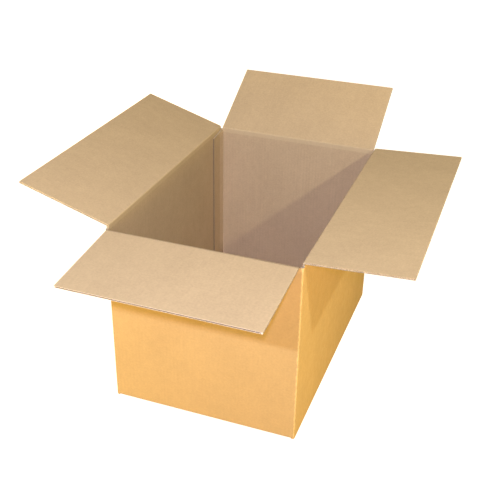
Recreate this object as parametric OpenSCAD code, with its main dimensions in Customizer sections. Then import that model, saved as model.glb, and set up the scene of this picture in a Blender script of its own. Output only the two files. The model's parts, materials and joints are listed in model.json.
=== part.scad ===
// Open shipping box folded from one sheet of corrugated board.
// The front is at -Y, the right side at +X, and the box stands on z = 0.
// Walls, glued base and glue tab are one solid. The four top flaps turn on their creases.

/* [Box] */
// Inside length, front to back
inside_length = 600; // [300:10:900]
// Inside width, left to right
inside_width = 400; // [250:10:600]
// Inside height, from the base to the shut end flaps
inside_height = 400; // [150:10:700]

/* [Board] */
// Thickness of the corrugated board
board_t = 4; // [3:0.25:6]
// Thickness of each flat facing sheet
liner_t = 0.45; // [0.3:0.05:0.6]
// Thickness of the fluted sheet between the facings
flute_t = 0.35; // [0.25:0.05:0.5]
// Distance from one flute to the next
flute_pitch = 8; // [6:0.5:10]
// Width of the flat crest of a flute, where it is glued to a facing
flute_crest_w = 2; // [1.4:0.1:2.4]

/* [Flaps] */
// Width of the slot between neighbouring flaps
slot_w = 10; // [8:0.5:16]
// Depth of the slots below the end flaps' creases
slot_overrun = 1; // [0:0.5:3]
// Gap between facing flaps that are folded shut
seam_gap = 4; // [1:0.5:12]
// Width of the strip beside each crease where the flutes are crushed shut
crease_w = 12; // [8:1:30]
// Width of the strip along each slot where the flutes are crushed shut
slot_edge_w = 3; // [2:0.5:8]

/* [Clearances] */
// Gap between a crease line and the mitred edges on each side of it
crease_gap = 0.25; // [0.2:0.05:0.5]
// Gap between a shut end flap and the side flap that covers it
stack_gap = 0.3; // [0.2:0.05:1]
// Gap between the glue tab and the side of the rear flaps
tab_gap = 0.5; // [0.3:0.1:2]

/* [Glue tab] */
// Width of the glue tab, from the rear left corner
tab_w = 55; // [25:1:90]
// Thickness of the crushed board of the glue tab
tab_t = 2.5; // [1.5:0.25:3]
// Drop of each end of the glue tab, from the corner to its free edge
tab_taper = 9; // [0:1:20]
// Distance of the left wall's cut end from the rear face
joint_setback = 2; // [0.5:0.25:2.5]

/* [Flap angles] */
// Angle of the front flap, outwards from upright
front_open = 95; // [0:1:170]
// Angle of the rear flap, outwards from upright
rear_open = 60; // [0:1:170]
// Angle of the left flap, outwards from upright
left_open = 73; // [0:1:170]
// Angle of the right flap, outwards from upright
right_open = 87; // [0:1:170]

/* [Hidden] */
$fn = 48;

outside_color = [0.86, 0.66, 0.40];
inside_color = [0.82, 0.69, 0.53];

// Directions of the sides, as turns about Z from +X
right_side = 0;
rear_side = 90;
left_side = 180;
front_side = 270;

outer_width = inside_width + 2 * board_t;
outer_length = inside_length + 2 * board_t;
flap_depth = (outer_width - seam_gap) / 2;

// The side flaps of the base lie under its end flaps, and the top shuts the same way round
side_fold_z = board_t;
end_fold_z = 2 * board_t;
end_crease_z = end_fold_z + inside_height + board_t;
side_crease_z = end_crease_z + board_t + stack_gap;

// Each slot is centred on a corner fold, so it sets the width of the corner between two flaps
corner_w = (board_t + slot_w) / 2;
tab_corner_w = max(corner_w, board_t + tab_t + tab_gap);
corner_stub = corner_w - board_t;
corner_foot_z = board_t;
corner_top_z = end_crease_z - slot_overrun;

side_panel_w = outer_length - 2 * corner_w;
front_panel_w = outer_width - 2 * corner_w;
rear_panel_w = outer_width - corner_w - tab_corner_w;
rear_panel_shift = (corner_w - tab_corner_w) / 2;

// A flute is a trapezium wave: half a pitch from crest to trough, with sloping webs between them
flute_rise = board_t - 2 * liner_t - flute_t;
web_run = flute_pitch / 2 - flute_crest_w;
web_width = flute_t * sqrt(1 + pow(web_run / flute_rise, 2));
web_lean = web_run / flute_rise * flute_t / 2;
channel_narrow = flute_crest_w + 2 * web_lean - web_width;
channel_wide = flute_pitch - flute_crest_w + 2 * web_lean - web_width;

module on_side(turn, reach) {
  rotate([0, 0, turn])
    translate([reach, 0, 0])
      children();
}

// Section of a wall with its mitred top, its rounded bottom fold and its base flap.
// X points outwards from the wall's inner face, Y points up.
module panel_section(fold_z, crease_z) {
  rim_z = crease_z - crease_gap;
  polygon([[0, fold_z], [board_t, fold_z], [board_t, rim_z], [0, rim_z - board_t]]);
  translate([0, fold_z])
    intersection() {
      circle(r = board_t);
      translate([0, -board_t]) square(board_t);
    }
  translate([board_t - flap_depth, fold_z - board_t])
    square([flap_depth - board_t, board_t]);
}

module panel(width, shift, fold_z, crease_z) {
  translate([0, shift, 0])
    rotate([90, 0, 0])
      linear_extrude(width, center = true)
        panel_section(fold_z, crease_z);
}

// Upright corner fold, rounded outside and sharp inside, with the wall ends beside it.
// The origin is the inside corner, and both walls stand on the positive side.
module corner_fold() {
  translate([0, 0, corner_foot_z])
    linear_extrude(corner_top_z - corner_foot_z) {
      intersection() {
        circle(r = board_t);
        square(board_t);
      }
      translate([-corner_stub, 0]) square([corner_stub, board_t]);
      translate([0, -corner_stub]) square([board_t, corner_stub]);
    }
}

// Corner where the sheet's two ends meet: the tab folds from the rear wall behind the left wall.
// The origin is the inside corner, with the left wall towards -X and the rear wall towards +Y.
module glued_corner() {
  tab_bend_y = board_t - tab_t;
  left_end = board_t - joint_setback;
  translate([0, 0, corner_foot_z])
    linear_extrude(corner_top_z - corner_foot_z) {
      translate([-board_t, -corner_stub]) square([board_t, corner_stub + left_end]);
      translate([tab_t, 0]) square([tab_corner_w - board_t - tab_t, board_t]);
      square([tab_t, tab_bend_y]);
      translate([tab_t, tab_bend_y])
        intersection() {
          circle(r = tab_t);
          translate([-tab_t, 0]) square(tab_t);
        }
    }
}

// Tab with tapered ends, flat against the left wall. The origin is the inside corner.
module glue_tab() {
  foot_z = end_fold_z;
  rotate([90, 0, 90])
    linear_extrude(tab_t)
      polygon([
        [0, foot_z],
        [0, corner_top_z],
        [-tab_w, corner_top_z - tab_taper],
        [-tab_w, foot_z + tab_taper]
      ]);
}

// Channels beside the fluted sheet, in the section across a flap's flutes.
// X runs along the crease, Y from the outer facing to the inner one.
module flute_channels(width) {
  count = floor((width - 2 * slot_edge_w - channel_wide) / flute_pitch) + 1;
  low = liner_t;
  high = board_t - liner_t;
  for (i = [0 : count - 1])
    translate([(i - (count - 1) / 2) * flute_pitch, 0]) {
      polygon([
        [-channel_wide / 2, low],
        [channel_wide / 2, low],
        [channel_narrow / 2, high - flute_t],
        [-channel_narrow / 2, high - flute_t]
      ]);
      if (i > 0)
        translate([-flute_pitch / 2, 0])
          polygon([
            [-channel_wide / 2, high],
            [-channel_narrow / 2, low + flute_t],
            [channel_narrow / 2, low + flute_t],
            [channel_wide / 2, high]
          ]);
    }
}

// Flap lying flat with its inner face up. X runs from the crease to the free edge.
module flap_board(width) {
  root = crease_gap;
  difference() {
    rotate([90, 0, 0])
      linear_extrude(width, center = true)
        polygon([[root, 0], [flap_depth, 0], [flap_depth, board_t], [root + board_t, board_t]]);
    translate([crease_w, 0, 0])
      rotate([90, 0, 90])
        linear_extrude(flap_depth)
          flute_channels(width);
  }
}

module top_flap(turn, reach, crease_z, open, width, shift) {
  color(inside_color)
    on_side(turn, reach)
      translate([0, shift, crease_z])
        rotate([0, open - 90, 0])
          flap_board(width - 2 * crease_gap);
}

module box_body() {
  half_w = inside_width / 2;
  half_l = inside_length / 2;
  color(outside_color) {
    for (turn = [left_side, right_side])
      on_side(turn, half_w) panel(side_panel_w, 0, side_fold_z, side_crease_z);
    on_side(front_side, half_l) panel(front_panel_w, 0, end_fold_z, end_crease_z);
    on_side(rear_side, half_l) panel(rear_panel_w, rear_panel_shift, end_fold_z, end_crease_z);
    translate([half_w, half_l, 0]) corner_fold();
    translate([half_w, -half_l, 0]) mirror([0, 1, 0]) corner_fold();
    translate([-half_w, -half_l, 0]) rotate([0, 0, 180]) corner_fold();
    translate([-half_w, half_l, 0]) {
      glued_corner();
      glue_tab();
    }
  }
}

module front_flap() {
  top_flap(front_side, outer_length / 2, end_crease_z, front_open, front_panel_w, 0);
}

module rear_flap() {
  top_flap(rear_side, outer_length / 2, end_crease_z, rear_open, rear_panel_w, rear_panel_shift);
}

module left_flap() {
  top_flap(left_side, outer_width / 2, side_crease_z, left_open, side_panel_w, 0);
}

module right_flap() {
  top_flap(right_side, outer_width / 2, side_crease_z, right_open, side_panel_w, 0);
}

box_body();
front_flap();
rear_flap();
left_flap();
right_flap();
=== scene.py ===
import json
import math
from collections import namedtuple

import bmesh
import bpy
from mathutils import Matrix, Vector


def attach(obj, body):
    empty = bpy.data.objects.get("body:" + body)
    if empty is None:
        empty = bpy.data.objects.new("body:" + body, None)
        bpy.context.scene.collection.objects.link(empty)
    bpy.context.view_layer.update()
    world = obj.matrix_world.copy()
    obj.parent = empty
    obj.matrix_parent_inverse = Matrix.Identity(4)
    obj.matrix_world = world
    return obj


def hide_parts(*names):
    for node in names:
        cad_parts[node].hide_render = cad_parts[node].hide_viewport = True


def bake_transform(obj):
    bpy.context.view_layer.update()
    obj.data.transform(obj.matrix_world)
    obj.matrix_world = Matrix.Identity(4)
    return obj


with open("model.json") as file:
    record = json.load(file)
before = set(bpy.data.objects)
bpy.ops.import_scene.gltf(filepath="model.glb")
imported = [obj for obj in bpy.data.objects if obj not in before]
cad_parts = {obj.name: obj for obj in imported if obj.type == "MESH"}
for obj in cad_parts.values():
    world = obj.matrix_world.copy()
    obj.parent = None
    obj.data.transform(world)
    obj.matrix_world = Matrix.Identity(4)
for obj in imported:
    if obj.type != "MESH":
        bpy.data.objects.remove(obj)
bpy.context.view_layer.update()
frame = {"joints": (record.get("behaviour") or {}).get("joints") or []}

# Board, slots and creases, in metres. The papers are as thick as their frayed edges look
BOARD = 0.004
LINER = 0.0007
FLUTE_PAPER = 0.00045
FLUTE_PITCH = 0.008
SLOT = 0.010
SLOT_OVERRUN = 0.001
SEAM = 0.004
CREASE_GAP = 0.00025
CRUSHED_AT_CREASE = 0.012
CRUSHED_AT_SLOT = 0.003
CUT_LIP = 0.0004
CUT_GROOVE = 0.0012
BASE_FLUTES_SHOWN = 0.020

# Glue tab at the rear left corner
TAB_WIDTH = 0.055
TAB_THICK = 0.0025
TAB_TAPER = 0.009
TAB_GAP = 0.0005
JOINT_SETBACK = 0.002
GLUE_LINE = 0.00004
TAB_BOW_WIDTH = 0.016
TAB_BOW_DEPTH = 0.003

# Roundness of the folds and of the bent inner facing at a crease
CREST_ROUND = 0.0046
FOLD_BEAD = 0.0018
FOLD_SEGMENTS = 8
CREST_SEGMENTS = 6
STEPS_A_FLUTE = 12
SHARP_ANGLE = math.radians(40)
FLAT_FACE_WEIGHT = 100

# Limits for telling where a face lies, and how far it turns towards an axis
ON_SURFACE = LINER / 4
SAME_POINT = 1e-6
STRAIGHT = 0.9
LEANING = 0.3
SLIGHTLY = 0.01

# Material slots of every board piece
OUTSIDE, INSIDE, CUT, SLOT_CUT, FLUTING_AND_TAB_SHADOW = range(5)

# Paper textures: how many features there are in a metre, round the flat sheet and up it
CLOUD_BROAD = (13, 9, 1)
CLOUD_CLOSE = (75, 55, 1)
GRAIN = (210, 240, 1)
FIBRE = (170, 1300, 1)
FLECK = (380, 900, 1)
RIB_DRIFT = (14, 3, 1)
RIB_UNEVEN = (45, 5, 1)
RIB_STREAK = (240, 3, 1)
RAGGED_WEAR = (110, 110, 1)

# Torn edges: how many features there are in a metre, along each axis of the box
TORN_FIBRE = (420, 420, 420)
TORN_PATCH = (55, 55, 55)

# How far the paper's marks reach, and how high its relief stands, in metres
RIB_DRIFT_REACH = 0.003
RIB_FADE = 0.03
CREASE_RUB_WIDTH = 0.009
CREASE_RUB_SOFTNESS = 0.001
# The paler tone near the upright folds is partly real scuffing, partly a painted highlight on the
# rounded folds.
FOLD_WEAR_AND_HIGHLIGHT_REACH = 0.0035
EDGE_WEAR_REACH = 0.0016
GRAIN_HEIGHT = 0.00004
FIBRE_HEIGHT = 0.00005
TORN_HEIGHT = 0.0002

# Strengths of the paper's marks
RIB_AND_SHADE_ON_FLAPS = 0.35
STREAK_GAIN = 3.0
TONE_RANGE = 0.14
FLECK_SHADE = 0.5
TORN_RELIEF = 0.4
TORN_GLOSS = 0.2

# A facing: its colour, its paler scuffed colour, which at the folds also paints a highlight, and how
# much each of its textures shows
Facing = namedtuple(
    "Facing", "tone worn cloud grain fibre fleck rib rib_height rub wear smooth rough gloss"
)
OUTSIDE_KRAFT = Facing(
    tone=(0.434, 0.272, 0.123),
    worn=(0.80, 0.56, 0.27),
    cloud=0.90,
    grain=1.10,
    fibre=0.35,
    fleck=0.25,
    rib=0.045,
    rib_height=0.000015,
    rub=0.10,
    wear=0.45,
    smooth=0.6,
    rough=0.75,
    gloss=0.3,
)
INSIDE_KRAFT = Facing(
    tone=(0.505, 0.348, 0.204),
    worn=(0.64, 0.48, 0.28),
    cloud=1.00,
    grain=1.30,
    fibre=0.50,
    fleck=0.45,
    rib=0.10,
    rib_height=0.000025,
    rub=0.35,
    wear=0.30,
    smooth=0.75,
    rough=0.9,
    gloss=0.2,
)

# Torn paper at the cut edges and between the facings: its pale and its deep colour
TornPaper = namedtuple("TornPaper", "pale deep")
CUT_PAPER = TornPaper(pale=(0.80, 0.65, 0.57), deep=(0.69, 0.55, 0.465))
SLOT_PAPER = TornPaper(pale=(0.55, 0.43, 0.315), deep=(0.28, 0.20, 0.128))
# This dark paper also paints the shadow line along the glue tab's free edge.
FLUTED_PAPER_AND_TAB_SHADOW = TornPaper(pale=(0.33, 0.23, 0.15), deep=(0.21, 0.145, 0.092))

# Camera fitted to the box's straight edges
PICTURE_PX = 500
FOCAL_PX = 832.4
SENSOR_MM = 36.0
CAMERA_AT = Vector((0.5508, -1.5707, 1.1763))
CAMERA_AZIMUTH = 19.604
CAMERA_ELEVATION = 29.074
CAMERA_ROLL = 1.17

# Floor, sky and lamps
WHITE = (1, 1, 1, 1)
FLOOR_HALF_SIZE = 15.0
FLOOR_TONE = (0.55, 0.38, 0.18, 1)
FLOOR_ROUGH = 0.9
FLOOR_GLOW = 0.99
FOOT_SHADE = 0.02
SKY_TINT = (1.0, 0.97, 0.41, 1)
SKY_STRENGTH = 0.278
LAMPS_LOOK_AT = Vector((0, 0, 0.3))
Lamp = namedtuple("Lamp", "name at size watts tint")
LAMPS = [
    Lamp("over the camera", (0.55, -1.62, 1.28), 0.04, 19.7, (0.68, 0.62, 1.0)),
    Lamp("left of the camera", (-0.15, -1.60, 1.31), 0.05, 20.0, (0.685, 0.829, 1.0)),
    Lamp("low at the left", (-1.00, -1.20, 0.25), 0.50, 18.8, (1.0, 0.84, 0.31)),
    Lamp("low at the right", (1.50, -0.60, 0.30), 0.50, 19.65, (1.0, 0.87, 0.37)),
    Lamp("high at the right", (1.35, -0.70, 1.45), 0.06, 13.0, (0.935, 1.0, 0.757)),
    Lamp("overhead", (0.0, 0.0, 2.20), 0.80, 7.3, (1.0, 0.87, 0.92)),
    Lamp("behind the left", (-1.50, 1.30, 0.35), 0.80, 20.0, (1.0, 0.94, 0.78)),
]

# Places that follow from the frame
UP = Vector((0, 0, 1))
joints = {joint["child"]: joint for joint in frame["joints"]}
half_width = joints["right"]["pos_m"][0]
half_length = joints["rear"]["pos_m"][1]
side_crease_z = joints["right"]["pos_m"][2]
end_crease_z = joints["rear"]["pos_m"][2]
quarter = half_width + half_length
flap_depth = half_width - SEAM / 2
corner_width = (BOARD + SLOT) / 2
corner_foot = BOARD
corner_top = end_crease_z - SLOT_OVERRUN

# A side of the box: its turn about Z from +X, its outer face, half the wall's length, its fold and
# crease heights, and where its middle lies along the flat sheet
Side = namedtuple("Side", "name turn reach half_wall fold_z crease_z start")
SIDES = [
    Side("right", 0, half_width, half_length, BOARD, side_crease_z, 0.0),
    Side("rear", 90, half_length, half_width, 2 * BOARD, end_crease_z, quarter),
    Side("left", 180, half_width, half_length, BOARD, side_crease_z, 2 * quarter),
    Side("front", 270, half_length, half_width, 2 * BOARD, end_crease_z, 3 * quarter),
]


def panel_width(side):
    """Width of a wall between the slots at its corners."""
    return 2 * (side.half_wall - corner_width)


def flap_width(side):
    """Width of a flap, which clears the slots by the same gap as its crease."""
    return panel_width(side) - 2 * CREASE_GAP


def open_angle(side):
    """Radians from upright at rest: a flap is shut at the low end of its joint's range."""
    return math.radians(-joints[side.name]["range_deg"][0] - 90)


def side_axes(side):
    """Directions outwards from a side and along its crease."""
    turn = math.radians(side.turn)
    outward = Vector((math.cos(turn), math.sin(turn), 0))
    along = Vector((-math.sin(turn), math.cos(turn), 0))
    return outward, along


def flap_axes(side):
    """Directions from the crease to the free edge, and from the outer facing to the inner one."""
    outward, _ = side_axes(side)
    angle = open_angle(side)
    depth = outward * math.sin(angle) + UP * math.cos(angle)
    inward = UP * math.sin(angle) - outward * math.cos(angle)
    return depth, inward


def bends_at_crease(side):
    """A crease gets its own bent piece only while the flap's range stays short of half a turn."""
    return joints[side.name]["range_deg"][0] > -180


def crease_point(side):
    """Middle of the crease, on the hinge line."""
    outward, _ = side_axes(side)
    return outward * side.reach + UP * side.crease_z


def axes_matrix(x, y, z, origin):
    """Matrix that takes local axes to the given directions."""
    return Matrix.Translation(origin) @ Matrix((x, y, z)).transposed().to_4x4()


# Mesh helpers


def new_verts(result):
    """Vertices that an extrude has made."""
    return [item for item in result["geom"] if isinstance(item, bmesh.types.BMVert)]


def prism(outline, length):
    """Closed solid: an outline in XY, drawn out along Z and centred on z = 0."""
    bm = bmesh.new()
    corners = [bm.verts.new((x, y, -length / 2)) for x, y in outline]
    drawn = bmesh.ops.extrude_face_region(bm, geom=[bm.faces.new(corners)])
    bmesh.ops.translate(bm, verts=new_verts(drawn), vec=(0, 0, length))
    bmesh.ops.recalc_face_normals(bm, faces=bm.faces)
    return bm


def upright_prism(outline, low, high):
    """Prism that stands between two heights."""
    bm = prism(outline, high - low)
    bmesh.ops.translate(bm, verts=bm.verts, vec=(0, 0, (low + high) / 2))
    return bm


def round_edge(bm, point, radius, segments):
    """Rounds the long edge of a prism that stands on this point of its outline."""
    def stands_here(vert):
        return (vert.co.xy - Vector(point)).length < SAME_POINT

    edges = [edge for edge in bm.edges if all(stands_here(vert) for vert in edge.verts)]
    bmesh.ops.bevel(
        bm,
        geom=edges,
        offset=radius,
        segments=segments,
        profile=0.5,
        affect="EDGES",
        material=-1,
    )


def bead_arc(x_sign, y_sign):
    """Quarter of a round bead on the inside of a fold, from the X wall to the Y wall."""
    turns = [math.pi / 2 * i / FOLD_SEGMENTS for i in range(FOLD_SEGMENTS + 1)]
    return [(x_sign * FOLD_BEAD * math.cos(t), y_sign * FOLD_BEAD * math.sin(t)) for t in turns]


def groove(bm, faces):
    """Sinks a cut edge between the lips of its two facings."""
    bmesh.ops.inset_individual(bm, faces=faces, thickness=CUT_LIP, depth=-CUT_GROOVE)


def hollow_edge(bm, face, depth):
    """Opens the cut edge of a board between its facings, clear of its crushed ends."""
    inwards = -face.normal * depth
    bmesh.ops.inset_region(bm, faces=[face], thickness=LINER, use_even_offset=True)
    for vert in face.verts:
        vert.co.z -= math.copysign(CRUSHED_AT_SLOT - LINER, vert.co.z)
    drawn = bmesh.ops.extrude_face_region(bm, geom=[face])
    bmesh.ops.delete(bm, geom=[face], context="FACES_ONLY")
    bmesh.ops.translate(bm, verts=new_verts(drawn), vec=inwards)
    bmesh.ops.recalc_face_normals(bm, faces=bm.faces)


def paint(bm, finish):
    """Gives each face the material slot that the rule names from its normal and middle."""
    bm.normal_update()
    for face in bm.faces:
        face.material_index = finish(face.normal, face.calc_center_median())
        face.smooth = True


def map_sheet(bm, place, ends):
    """UV maps in metres: the place on the flat sheet, and the way to the panel's two ends."""
    sheet_map = bm.loops.layers.uv.new("sheet")
    ends_map = bm.loops.layers.uv.new("ends")
    for face in bm.faces:
        for loop in face.loops:
            loop[sheet_map].uv = place(loop.vert.co, face.normal)
            loop[ends_map].uv = ends(loop.vert.co)


def ways_to_ends(half):
    """Rule for the way along Z to both ends of a panel, which lie this far from its middle."""
    return lambda co: (half - co.z, half + co.z)


def set_down(bm, matrix):
    """Moves a solid to its place and turns its faces outwards."""
    bmesh.ops.transform(bm, matrix=matrix, verts=bm.verts)
    bmesh.ops.recalc_face_normals(bm, faces=bm.faces)


def gather(whole, part):
    """Adds a finished solid to a piece."""
    mesh = bpy.data.meshes.new("part")
    part.to_mesh(mesh)
    part.free()
    whole.from_mesh(mesh)
    bpy.data.meshes.remove(mesh)


def make_piece(name, bm, materials):
    """Object with the given materials, with smooth rounds beside flat faces."""
    mesh = bpy.data.meshes.new(name)
    bm.to_mesh(mesh)
    bm.free()
    mesh.set_sharp_from_angle(angle=SHARP_ANGLE)
    piece = bpy.data.objects.new(name, mesh)
    bpy.context.scene.collection.objects.link(piece)
    for material in materials:
        mesh.materials.append(material)
    return piece


def keep_faces_flat(piece):
    """Keeps the broad faces flat where they run into a rounded fold."""
    modifier = piece.modifiers.new("flat faces", "WEIGHTED_NORMAL")
    modifier.keep_sharp = True
    modifier.weight = FLAT_FACE_WEIGHT


def fluted_paper(width, edge_x, inner_x, middle_y):
    """The wavy sheet between the facings, from a board's cut edge inwards."""
    span = width - 2 * CRUSHED_AT_SLOT
    rise = (BOARD - 2 * LINER - FLUTE_PAPER) / 2
    steps = round(span / FLUTE_PITCH * STEPS_A_FLUTE)
    bm = bmesh.new()
    row = []
    for i in range(steps + 1):
        z = span * (i / steps - 0.5)
        y = middle_y + rise * math.sin(2 * math.pi * z / FLUTE_PITCH)
        row.append(bm.verts.new((edge_x, y, z)))
    wave = [bm.edges.new(pair) for pair in zip(row, row[1:])]
    drawn = bmesh.ops.extrude_edge_only(bm, edges=wave)
    bmesh.ops.translate(bm, verts=new_verts(drawn), vec=(inner_x - edge_x, 0, 0))
    bmesh.ops.recalc_face_normals(bm, faces=bm.faces)
    bmesh.ops.solidify(bm, geom=bm.faces[:], thickness=FLUTE_PAPER)
    drift = sum(vert.co.y for vert in bm.verts) / len(bm.verts) - middle_y
    bmesh.ops.translate(bm, verts=bm.verts, vec=(0, -drift, 0))
    paint(bm, lambda normal, middle: SLOT_CUT if abs(middle.x - edge_x) < ON_SURFACE else FLUTING_AND_TAB_SHADOW)
    return bm


# The folded sheet


def panel_solid(side):
    """A wall with its mitred top, its bottom fold and its base flap, as one bent strip.

    X points outwards from the inner face, Y up and Z along the wall.
    """
    rim = side.crease_z - CREASE_GAP
    fold = side.fold_z
    free_x = BOARD - flap_depth
    crest = (0, rim - BOARD)
    heel = (BOARD, fold - BOARD)
    bead = [(x, y + fold) for x, y in bead_arc(-1, 1)]
    outline = [crest, (BOARD, rim), heel, (free_x, fold - BOARD), (free_x, fold), *bead]
    bm = prism(outline, panel_width(side))
    round_edge(bm, heel, BOARD, FOLD_SEGMENTS)
    if not bends_at_crease(side):
        round_edge(bm, crest, CREST_ROUND, CREST_SEGMENTS)
    free_edge = min(bm.faces, key=lambda face: face.calc_center_median().x)
    hollow_edge(bm, free_edge, BASE_FLUTES_SHOWN)

    def finish(normal, middle):
        if middle.x < free_x + ON_SURFACE:
            return CUT
        if abs(normal.z) > STRAIGHT:
            return SLOT_CUT
        if middle.x < 0 and abs(middle.y - fold + BOARD / 2) < BOARD / 2 - ON_SURFACE:
            return FLUTING_AND_TAB_SHADOW
        outwards = normal.x if middle.y > fold else -normal.y
        return OUTSIDE if outwards > SLIGHTLY else INSIDE

    paint(bm, finish)
    return bm


def panel_parts(side):
    """A panel and the fluted paper at its base flap's cut edge, in their place on the box."""
    outward, along = side_axes(side)
    free_x = BOARD - flap_depth
    inner_x = free_x + BASE_FLUTES_SHOWN
    flutes = fluted_paper(panel_width(side), free_x, inner_x, side.fold_z - BOARD / 2)
    matrix = axes_matrix(outward, UP, along, outward * (side.reach - BOARD))
    for part in (panel_solid(side), flutes):
        map_sheet(
            part,
            lambda co, normal: (side.start + co.z, co.x + co.y - side.crease_z),
            ways_to_ends(side.half_wall),
        )
        set_down(part, matrix)
        yield part


def corner_place(co, normal):
    """Place on the sheet of an upright face: the way round the box, and the height."""
    below_crease = co.z - end_crease_z
    if abs(normal.x) > abs(normal.y):
        return (co.y if co.x > 0 else 2 * quarter - co.y, below_crease)
    return (quarter - co.x if co.y > 0 else 3 * quarter + co.x, below_crease)


def corner_ends(co):
    """Way to the nearest upright fold, and one that is far off."""
    return (max(half_width - abs(co.x), half_length - abs(co.y)), half_length)


def corner_solid(x_sign, y_sign):
    """An upright fold with the short wall ends beside it, under the slot between two flaps."""
    stub = corner_width - BOARD
    bend = (BOARD, BOARD)
    outline = [(-stub, 0), *bead_arc(-1, -1), (0, -stub), (BOARD, -stub), bend, (-stub, BOARD)]
    bm = upright_prism(outline, corner_foot, corner_top)
    round_edge(bm, bend, BOARD, FOLD_SEGMENTS)

    def finish(normal, middle):
        if abs(normal.z) > STRAIGHT:
            return SLOT_CUT
        return OUTSIDE if normal.x + normal.y > 0 else INSIDE

    paint(bm, finish)
    corner = Vector((x_sign * (half_width - BOARD), y_sign * (half_length - BOARD), 0))
    set_down(bm, Matrix.Translation(corner) @ Matrix.Diagonal((x_sign, y_sign, 1, 1)))
    map_sheet(bm, corner_place, corner_ends)
    return bm


def glued_corner_parts():
    """The left wall's cut end, the tab's bend beside it, the tab, and its bow away from the wall."""
    x = BOARD - half_width
    y = half_length - BOARD
    stub = corner_width - BOARD
    left_end = half_length - JOINT_SETBACK
    rear_end = x - BOARD + max(corner_width, BOARD + TAB_THICK + TAB_GAP)
    bend = (x, half_length)
    foot = 2 * BOARD
    wall_end = upright_prism(
        [(x - BOARD, y - stub), (x, y - stub), (x, left_end), (x - BOARD, left_end)],
        corner_foot,
        corner_top,
    )
    tab_bend = upright_prism(
        [(x, y), (rear_end, y), (rear_end, half_length), bend],
        corner_foot,
        corner_top,
    )
    round_edge(tab_bend, bend, TAB_THICK, FOLD_SEGMENTS)

    tab = prism(
        [
            (0, foot),
            (0, corner_top),
            (-TAB_WIDTH, corner_top - TAB_TAPER),
            (-TAB_WIDTH, foot + TAB_TAPER),
        ],
        TAB_THICK - GLUE_LINE,
    )
    groove(tab, [min(tab.faces, key=lambda face: face.calc_center_median().x)])
    tab_middle = Vector((x + (TAB_THICK + GLUE_LINE) / 2, y, 0))
    set_down(tab, axes_matrix(Vector((0, 1, 0)), UP, Vector((1, 0, 0)), tab_middle))

    bow = upright_prism(
        [(0, 0), (0, -TAB_BOW_WIDTH), (TAB_BOW_DEPTH, 0)],
        foot,
        end_crease_z - BOARD - 2 * TAB_GAP,
    )
    bmesh.ops.translate(bow, verts=bow.verts, vec=(x + TAB_THICK, y, 0))

    def finish(normal, middle):
        # The tab's whole free edge, lips too, takes the dark fluted paper: partly its flutes, partly
        # a painted shadow line where the tab stands off the wall.
        if middle.y < y - TAB_WIDTH + CUT_GROOVE + ON_SURFACE:
            return FLUTING_AND_TAB_SHADOW
        if abs(normal.z) > LEANING or (middle.x < x and normal.y > STRAIGHT):
            return SLOT_CUT
        return INSIDE if normal.x > LEANING or normal.y < -LEANING else OUTSIDE

    for part in (wall_end, tab_bend, tab, bow):
        paint(part, finish)
        map_sheet(part, corner_place, corner_ends)
        yield part


def folded_sheet(materials):
    """Walls, corner folds, base flaps and glue tab of the box."""
    whole = bmesh.new()
    for side in SIDES:
        for part in panel_parts(side):
            gather(whole, part)
    for x_sign, y_sign in ((1, 1), (1, -1), (-1, -1)):
        gather(whole, corner_solid(x_sign, y_sign))
    for part in glued_corner_parts():
        gather(whole, part)
    piece = make_piece("folded_sheet", whole, materials)
    keep_faces_flat(piece)
    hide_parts("box_body")
    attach(piece, "box")


# The top flaps


def flap_slab(side):
    """Flap in its own axes: X from the crease, Y from the outer to the inner facing, Z along."""
    width = flap_width(side)
    root = (CREASE_GAP + BOARD, BOARD)
    outline = [(CREASE_GAP, 0), (flap_depth, 0), (flap_depth, BOARD), root]
    bm = prism(outline, width)
    if not bends_at_crease(side):
        round_edge(bm, root, CREST_ROUND, CREST_SEGMENTS)
    groove(bm, [face for face in bm.faces if abs(face.normal.z) > STRAIGHT])
    free_edge = max(bm.faces, key=lambda face: face.calc_center_median().x)
    hollow_edge(bm, free_edge, flap_depth - CRUSHED_AT_CREASE)

    def finish(normal, middle):
        if middle.x > flap_depth - ON_SURFACE:
            return CUT
        if abs(middle.z) > width / 4:
            return SLOT_CUT
        if middle.y < ON_SURFACE:
            return OUTSIDE
        bent = middle.x < CRUSHED_AT_CREASE / 2
        return INSIDE if middle.y > BOARD - ON_SURFACE or bent else FLUTING_AND_TAB_SHADOW

    paint(bm, finish)
    return bm


def top_flap(side, materials):
    """A flap of three-layer board that turns on its crease."""
    _, along = side_axes(side)
    depth, inward = flap_axes(side)
    width = flap_width(side)
    matrix = axes_matrix(depth, inward, along, crease_point(side))
    whole = bmesh.new()
    flutes = fluted_paper(width, flap_depth, CRUSHED_AT_CREASE, BOARD / 2)
    for part in (flap_slab(side), flutes):
        map_sheet(part, lambda co, normal: (side.start + co.z, co.x), ways_to_ends(width / 2))
        set_down(part, matrix)
        gather(whole, part)
    piece = make_piece(f"{side.name}_flap_board", whole, materials)
    keep_faces_flat(piece)
    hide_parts(f"{side.name}_flap")
    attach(piece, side.name)


def crease_strip(side, materials):
    """The outer facing where it runs unbroken over the crease, from the wall to the flap."""
    outward, along = side_axes(side)
    depth, _ = flap_axes(side)
    hinge = crease_point(side)
    angle = open_angle(side)
    width = flap_width(side)
    flap_edge = (CREASE_GAP * math.sin(angle), CREASE_GAP * math.cos(angle))
    bm = prism([(0, -CREASE_GAP), flap_edge, (0, 0)], width)
    paint(bm, lambda normal, middle: OUTSIDE)
    map_sheet(bm, lambda co, normal: (side.start + co.z, co.x + co.y), ways_to_ends(width / 2))
    set_down(bm, axes_matrix(outward, UP, along, hinge))
    piece = make_piece(f"{side.name}_crease_strip", bm, materials)
    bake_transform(piece)


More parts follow.
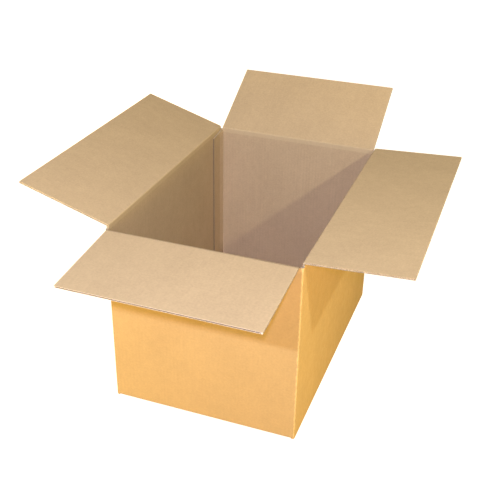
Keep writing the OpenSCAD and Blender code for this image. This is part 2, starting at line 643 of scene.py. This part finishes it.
def crease_bend(side, materials):
    """The board where it bends round an open crease, from the wall's mitre to the flap's."""
    outward, along = side_axes(side)
    hinge = crease_point(side)
    angle = open_angle(side)
    width = flap_width(side)
    ledge = BOARD + CREASE_GAP
    run = BOARD * math.tan(angle / 2)
    top = Vector((-BOARD, run))
    wall_edge = Vector((-BOARD, -ledge))
    flap_edge = top + (run + ledge) * Vector((math.sin(angle), math.cos(angle)))
    bm = prism([(0, 0), wall_edge, top, flap_edge], width)
    round_edge(bm, top, run, CREST_SEGMENTS)
    paint(bm, lambda normal, middle: SLOT_CUT if abs(normal.z) > STRAIGHT else INSIDE)
    chord = flap_edge - wall_edge

    def place(co, normal):
        share = (co.xy - wall_edge).dot(chord) / chord.length_squared
        return (side.start + co.z, ledge * (2 * share - 1))

    map_sheet(bm, place, ways_to_ends(width / 2))
    set_down(bm, axes_matrix(outward, UP, along, hinge))
    piece = make_piece(f"{side.name}_crease_bend", bm, materials)
    keep_faces_flat(piece)
    start, end = (hinge + outward * edge.x + UP * edge.y for edge in (wall_edge, flap_edge))
    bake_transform(piece)
    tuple(start)
    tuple(end)


# Node helpers

# Sockets of a Mix node that mixes colours
MIX_A = 6
MIX_B = 7
MIX_RESULT = 2


class Nodes:
    """Short calls for one node tree."""

    def __init__(self, tree):
        self.tree = tree

    def add(self, kind, inputs=None, **settings):
        """New node with its settings made and its inputs fed."""
        node = self.tree.nodes.new(kind)
        for key, value in settings.items():
            setattr(node, key, value)
        for key, value in (inputs or {}).items():
            self.feed(node.inputs[key], value)
        return node

    def feed(self, socket, value):
        """Links an output to a socket, or sets the socket to a plain value."""
        if isinstance(value, bpy.types.NodeSocket):
            self.tree.links.new(value, socket)
        else:
            socket.default_value = value

    def math(self, operation, a, b=0.0):
        return self.add("ShaderNodeMath", {0: a, 1: b}, operation=operation).outputs[0]

    def ramp(self, value, low, high, to_low=0.0, to_high=1.0):
        """Smooth step from one value to another."""
        inputs = {
            "Value": value,
            "From Min": low,
            "From Max": high,
            "To Min": to_low,
            "To Max": to_high,
        }
        return self.add("ShaderNodeMapRange", inputs, interpolation_type="SMOOTHSTEP").outputs[0]

    def mix(self, share, a, b):
        """Colour between two colours."""
        node = self.add("ShaderNodeMix", data_type="RGBA")
        self.feed(node.inputs["Factor"], share)
        self.feed(node.inputs[MIX_A], a)
        self.feed(node.inputs[MIX_B], b)
        return node.outputs[MIX_RESULT]

    def noise(self, vector, scale, detail=3.0, rough=0.5):
        """Noise with its own scale along each axis."""
        stretched = self.add("ShaderNodeMapping", {"Vector": vector, "Scale": scale}).outputs[0]
        inputs = {"Vector": stretched, "Scale": 1.0, "Detail": detail, "Roughness": rough}
        return self.add("ShaderNodeTexNoise", inputs).outputs[0]

    def parts(self, vector):
        return self.add("ShaderNodeSeparateXYZ", {0: vector}).outputs

    def group(self, tree, inputs):
        """Outputs of a shared group that is given these inputs."""
        return self.add("ShaderNodeGroup", inputs, node_tree=tree).outputs


def new_group(name, given, made):
    """Empty shader group of float outputs: its tree, node calls, inputs and outputs."""
    tree = bpy.data.node_groups.new(name, "ShaderNodeTree")
    for socket, kind in given.items():
        tree.interface.new_socket(socket, in_out="INPUT", socket_type=f"NodeSocket{kind}")
    for socket in made:
        tree.interface.new_socket(socket, in_out="OUTPUT", socket_type="NodeSocketFloat")
    n = Nodes(tree)
    return tree, n, n.add("NodeGroupInput").outputs, n.add("NodeGroupOutput").inputs


def new_material(name):
    """Empty material: itself, its node calls and its shader."""
    material = bpy.data.materials.new(name)
    material.use_nodes = True
    n = Nodes(material.node_tree)
    return material, n, n.tree.nodes["Principled BSDF"]


# Paper finishes, in metres: facings on the flat sheet, torn edges where they stand


def kraft_paper_group():
    """Cloudy formation, grain, fibres and flecks of brown paper."""
    tree, n, given, made = new_group(
        "kraft paper", {"Sheet": "Vector"}, ["Cloud", "Grain", "Fibre", "Fleck"]
    )
    sheet = given["Sheet"]
    broad = n.noise(sheet, CLOUD_BROAD, 2.0)
    close = n.noise(sheet, CLOUD_CLOSE, 3.0)
    n.feed(made["Cloud"], n.math("MULTIPLY", n.math("ADD", broad, close), 0.5))
    n.feed(made["Grain"], n.noise(sheet, GRAIN, 5.0, 0.62))
    n.feed(made["Fibre"], n.noise(sheet, FIBRE, 4.0, 0.6))
    n.feed(made["Fleck"], n.ramp(n.noise(sheet, FLECK, 2.0), 0.70, 0.80))
    return tree


def flute_rib_and_shade_group():
    """Faint flute lines and streaks where the flutes press through the facing, fainter on the flaps;
    in the colour they are partly painted shade of the washboard.
    """
    tree, n, given, made = new_group(
        "flute ribs", {"Sheet": "Vector", "Pitch": "Float"}, ["Rib"]
    )
    sheet = given["Sheet"]
    place = n.parts(sheet)
    drift = n.math("MULTIPLY", n.noise(sheet, RIB_DRIFT, 2.0), RIB_DRIFT_REACH)
    turns = n.math("DIVIDE", n.math("ADD", place["X"], drift), given["Pitch"])
    wave = n.math("SINE", n.math("MULTIPLY", turns, 2 * math.pi))
    uneven = n.ramp(n.noise(sheet, RIB_UNEVEN, 2.0), 0.3, 0.75)
    centred = n.math("SUBTRACT", n.noise(sheet, RIB_STREAK, 3.0), 0.5)
    streak = n.math("MULTIPLY", centred, STREAK_GAIN)
    rib = n.math("ADD", n.math("MULTIPLY", wave, uneven), streak)
    on_wall = n.ramp(place["Y"], -RIB_FADE, 0.0, 1.0, RIB_AND_SHADE_ON_FLAPS)
    n.feed(made["Rib"], n.math("MULTIPLY", rib, on_wall))
    return tree


def crease_rub_group():
    """Mask of the strip of a wall that the scoring wheel has pressed, below the crease."""
    tree, n, given, made = new_group("crease rub", {"Sheet": "Vector", "Width": "Float"}, ["Rub"])
    soft = CREASE_RUB_SOFTNESS
    height = n.parts(given["Sheet"])["Y"]
    above_foot = n.ramp(n.math("ADD", height, given["Width"]), -soft, soft)
    below_crease = n.ramp(height, -soft, soft, 1.0, 0.0)
    n.feed(made["Rub"], n.math("MULTIPLY", above_foot, below_crease))
    return tree


def worn_edge_and_highlight_group():
    """Mask that fades over a ragged reach from an edge or a fold; at the folds it is partly a
    painted highlight.
    """
    tree, n, given, made = new_group(
        "worn edge", {"Sheet": "Vector", "Distance": "Float", "Reach": "Float"}, ["Wear"]
    )
    ragged = n.noise(given["Sheet"], RAGGED_WEAR, 4.0, 0.65)
    reach = n.math("MULTIPLY", given["Reach"], n.ramp(ragged, 0.25, 0.75, 0.3, 1.7))
    n.feed(made["Wear"], n.ramp(n.math("DIVIDE", given["Distance"], reach), 0.1, 1.0, 1.0, 0.0))
    return tree


def torn_fibre_group():
    """Torn fibres, and the broad patches where they lie deeper, at a place in metres."""
    tree, n, given, made = new_group("torn fibres", {"Place": "Vector"}, ["Torn", "Patch"])
    n.feed(made["Torn"], n.noise(given["Place"], TORN_FIBRE, 6.0, 0.75))
    n.feed(made["Patch"], n.noise(given["Place"], TORN_PATCH, 2.0))
    return tree


def shade(tone, factor=1.0):
    """A colour made lighter or darker, with its alpha."""
    return tuple(channel * factor for channel in tone) + (1.0,)


def kraft_material(name, facing, groups):
    """Facing of the board, paler along its folds and edges; along the upright folds the paler tone
    is partly a painted highlight.
    """
    material, n, shader = new_material(name)
    sheet = n.add("ShaderNodeUVMap", uv_map="sheet").outputs[0]
    ends = n.parts(n.add("ShaderNodeUVMap", uv_map="ends").outputs[0])
    paper = n.group(groups["paper"], {"Sheet": sheet})
    rib = n.group(groups["ribs"], {"Sheet": sheet, "Pitch": FLUTE_PITCH})["Rib"]

    # The flute lines lighten and darken the tone: partly the flutes pressing through, partly painted
    # shade of the washboard's hollows.
    share = n.math("ADD", n.math("MULTIPLY", rib, facing.rib), 0.5)
    amounts = {"Cloud": facing.cloud, "Grain": facing.grain, "Fibre": facing.fibre}
    for texture, amount in amounts.items():
        centred = n.math("SUBTRACT", paper[texture], 0.5)
        share = n.math("ADD", share, n.math("MULTIPLY", centred, amount))
    tone = n.mix(share, shade(facing.tone, 1 - TONE_RANGE), shade(facing.tone, 1 + TONE_RANGE))
    flecked = n.math("MULTIPLY", paper["Fleck"], facing.fleck)
    tone = n.mix(flecked, tone, shade(facing.tone, FLECK_SHADE))

    worn = shade(facing.worn)
    rub = n.group(groups["rub"], {"Sheet": sheet, "Width": CREASE_RUB_WIDTH})["Rub"]
    tone = n.mix(n.math("MULTIPLY", rub, facing.rub), tone, worn)
    to_end = n.math("MINIMUM", ends["X"], ends["Y"])
    to_free_edge = n.math("ABSOLUTE", n.math("SUBTRACT", n.parts(sheet)["Y"], flap_depth))
    # Paler near the upright folds and the free edges; near the folds this is partly a painted
    # highlight.
    for distance, reach in ((to_end, FOLD_WEAR_AND_HIGHLIGHT_REACH), (to_free_edge, EDGE_WEAR_REACH)):
        edge = {"Sheet": sheet, "Distance": distance, "Reach": reach}
        wear = n.group(groups["wear"], edge)["Wear"]
        tone = n.mix(n.math("MULTIPLY", wear, facing.wear), tone, worn)
    n.feed(shader.inputs["Base Color"], tone)

    roughness = n.ramp(paper["Cloud"], 0.3, 0.7, facing.rough, facing.smooth)
    n.feed(shader.inputs["Roughness"], roughness)
    shader.inputs["Specular IOR Level"].default_value = facing.gloss
    height = n.math("MULTIPLY", paper["Grain"], GRAIN_HEIGHT)
    height = n.math("ADD", height, n.math("MULTIPLY", paper["Fibre"], FIBRE_HEIGHT))
    height = n.math("ADD", height, n.math("MULTIPLY", rib, facing.rib_height))
    bump = n.add("ShaderNodeBump", {"Height": height, "Strength": 1.0, "Distance": 1.0})
    n.feed(shader.inputs["Normal"], bump.outputs[0])
    return material


def torn_paper_material(name, paper, groups):
    """Rough paper with torn fibres."""
    material, n, shader = new_material(name)
    here = n.add("ShaderNodeTexCoord").outputs["Object"]
    fibres = n.group(groups["torn"], {"Place": here})
    deep = shade(paper.deep)
    tone = n.mix(n.ramp(fibres["Torn"], 0.35, 0.65), deep, shade(paper.pale))
    tone = n.mix(n.ramp(fibres["Patch"], 0.4, 0.7, 0.0, 0.4), tone, deep)
    n.feed(shader.inputs["Base Color"], tone)
    n.feed(shader.inputs["Roughness"], n.ramp(fibres["Torn"], 0.3, 0.7, 0.95, 0.85))
    shader.inputs["Specular IOR Level"].default_value = TORN_GLOSS
    relief = {"Height": fibres["Torn"], "Strength": TORN_RELIEF, "Distance": TORN_HEIGHT}
    n.feed(shader.inputs["Normal"], n.add("ShaderNodeBump", relief).outputs[0])
    return material


def board_materials():
    """Both facings, the cut edges and the fluted paper, which also paints the tab's shadow line, in
    the order of the material slots.
    """
    groups = {
        "paper": kraft_paper_group(),
        "ribs": flute_rib_and_shade_group(),
        "rub": crease_rub_group(),
        "wear": worn_edge_and_highlight_group(),
        "torn": torn_fibre_group(),
    }
    return [
        kraft_material("outside kraft", OUTSIDE_KRAFT, groups),
        kraft_material("inside kraft", INSIDE_KRAFT, groups),
        torn_paper_material("cut edge", CUT_PAPER, groups),
        torn_paper_material("slot edge", SLOT_PAPER, groups),
        torn_paper_material("fluted sheet", FLUTED_PAPER_AND_TAB_SHADOW, groups),
    ]


# Studio


def photo_camera():
    """Camera at the photograph's place, with its angle of view and its slight roll."""
    a, e, r = (math.radians(x) for x in (CAMERA_AZIMUTH, CAMERA_ELEVATION, CAMERA_ROLL))
    back = Vector((math.sin(a) * math.cos(e), -math.cos(a) * math.cos(e), math.sin(e)))
    right = UP.cross(back).normalized()
    up = back.cross(right)
    rolled_right = right * math.cos(r) + up * math.sin(r)
    rolled_up = up * math.cos(r) - right * math.sin(r)
    camera = bpy.data.cameras.new("photo camera")
    camera.sensor_width = SENSOR_MM
    camera.lens = FOCAL_PX / PICTURE_PX * SENSOR_MM
    eye = bpy.data.objects.new("photo camera", camera)
    eye.matrix_world = axes_matrix(rolled_right, rolled_up, back, CAMERA_AT)
    bpy.context.scene.collection.objects.link(eye)
    bpy.context.scene.camera = eye


def floor_material():
    """Looks white to the camera except under the box, and throws warm light back at the walls."""
    material, n, shader = new_material("white floor")
    shader.inputs["Base Color"].default_value = FLOOR_TONE
    shader.inputs["Roughness"].default_value = FLOOR_ROUGH
    shader.inputs["Emission Color"].default_value = WHITE
    here = n.parts(n.add("ShaderNodeTexCoord").outputs["Object"])
    under = [
        n.ramp(n.math("ABSOLUTE", here[axis]), reach - FOOT_SHADE, reach, 1.0, 0.0)
        for axis, reach in (("X", half_width), ("Y", half_length))
    ]
    clear = n.math("SUBTRACT", 1.0, n.math("MULTIPLY", *under))
    seen = n.math("MULTIPLY", n.add("ShaderNodeLightPath").outputs["Is Camera Ray"], clear)
    n.feed(shader.inputs["Emission Strength"], n.math("MULTIPLY", seen, FLOOR_GLOW))
    return material


def studio_floor():
    """Plain floor that reaches past the edge of the picture."""
    bm = bmesh.new()
    bmesh.ops.create_grid(bm, x_segments=1, y_segments=1, size=FLOOR_HALF_SIZE)
    mesh = bpy.data.meshes.new("studio_floor")
    bm.to_mesh(mesh)
    bm.free()
    floor = bpy.data.objects.new("studio_floor", mesh)
    bpy.context.scene.collection.objects.link(floor)
    mesh.materials.append(floor_material())


def studio_sky():
    """Soft warm light from all round, which looks white to the camera."""
    world = bpy.data.worlds.new("studio")
    world.use_nodes = True
    n = Nodes(world.node_tree)
    sky = n.tree.nodes["Background"]
    sky.inputs["Color"].default_value = SKY_TINT
    sky.inputs["Strength"].default_value = SKY_STRENGTH
    backdrop = n.add("ShaderNodeBackground", {"Color": WHITE, "Strength": 1.0})
    seen = n.add("ShaderNodeLightPath").outputs["Is Camera Ray"]
    shown = n.add("ShaderNodeMixShader", {0: seen, 1: sky.outputs[0], 2: backdrop.outputs[0]})
    n.feed(n.tree.nodes["World Output"].inputs["Surface"], shown.outputs[0])
    bpy.context.scene.world = world


def soft_lamp(lamp):
    """Square soft light that looks at the middle of the box."""
    light = bpy.data.lights.new(lamp.name, "AREA")
    light.shape = "SQUARE"
    light.size = lamp.size
    light.energy = lamp.watts
    light.color = lamp.tint
    stand = bpy.data.objects.new(lamp.name, light)
    stand.location = lamp.at
    back = Vector(lamp.at) - LAMPS_LOOK_AT
    stand.rotation_euler = back.to_track_quat("Z", "Y").to_euler()
    stand.visible_camera = False
    bpy.context.scene.collection.objects.link(stand)


photo_camera()
materials = board_materials()
folded_sheet(materials)
for side in SIDES:
    top_flap(side, materials)
    crease_strip(side, materials)
    if bends_at_crease(side):
        crease_bend(side, materials)
studio_floor()
studio_sky()
for lamp in LAMPS:
    soft_lamp(lamp)
bpy.context.scene.view_settings.view_transform = "Standard"
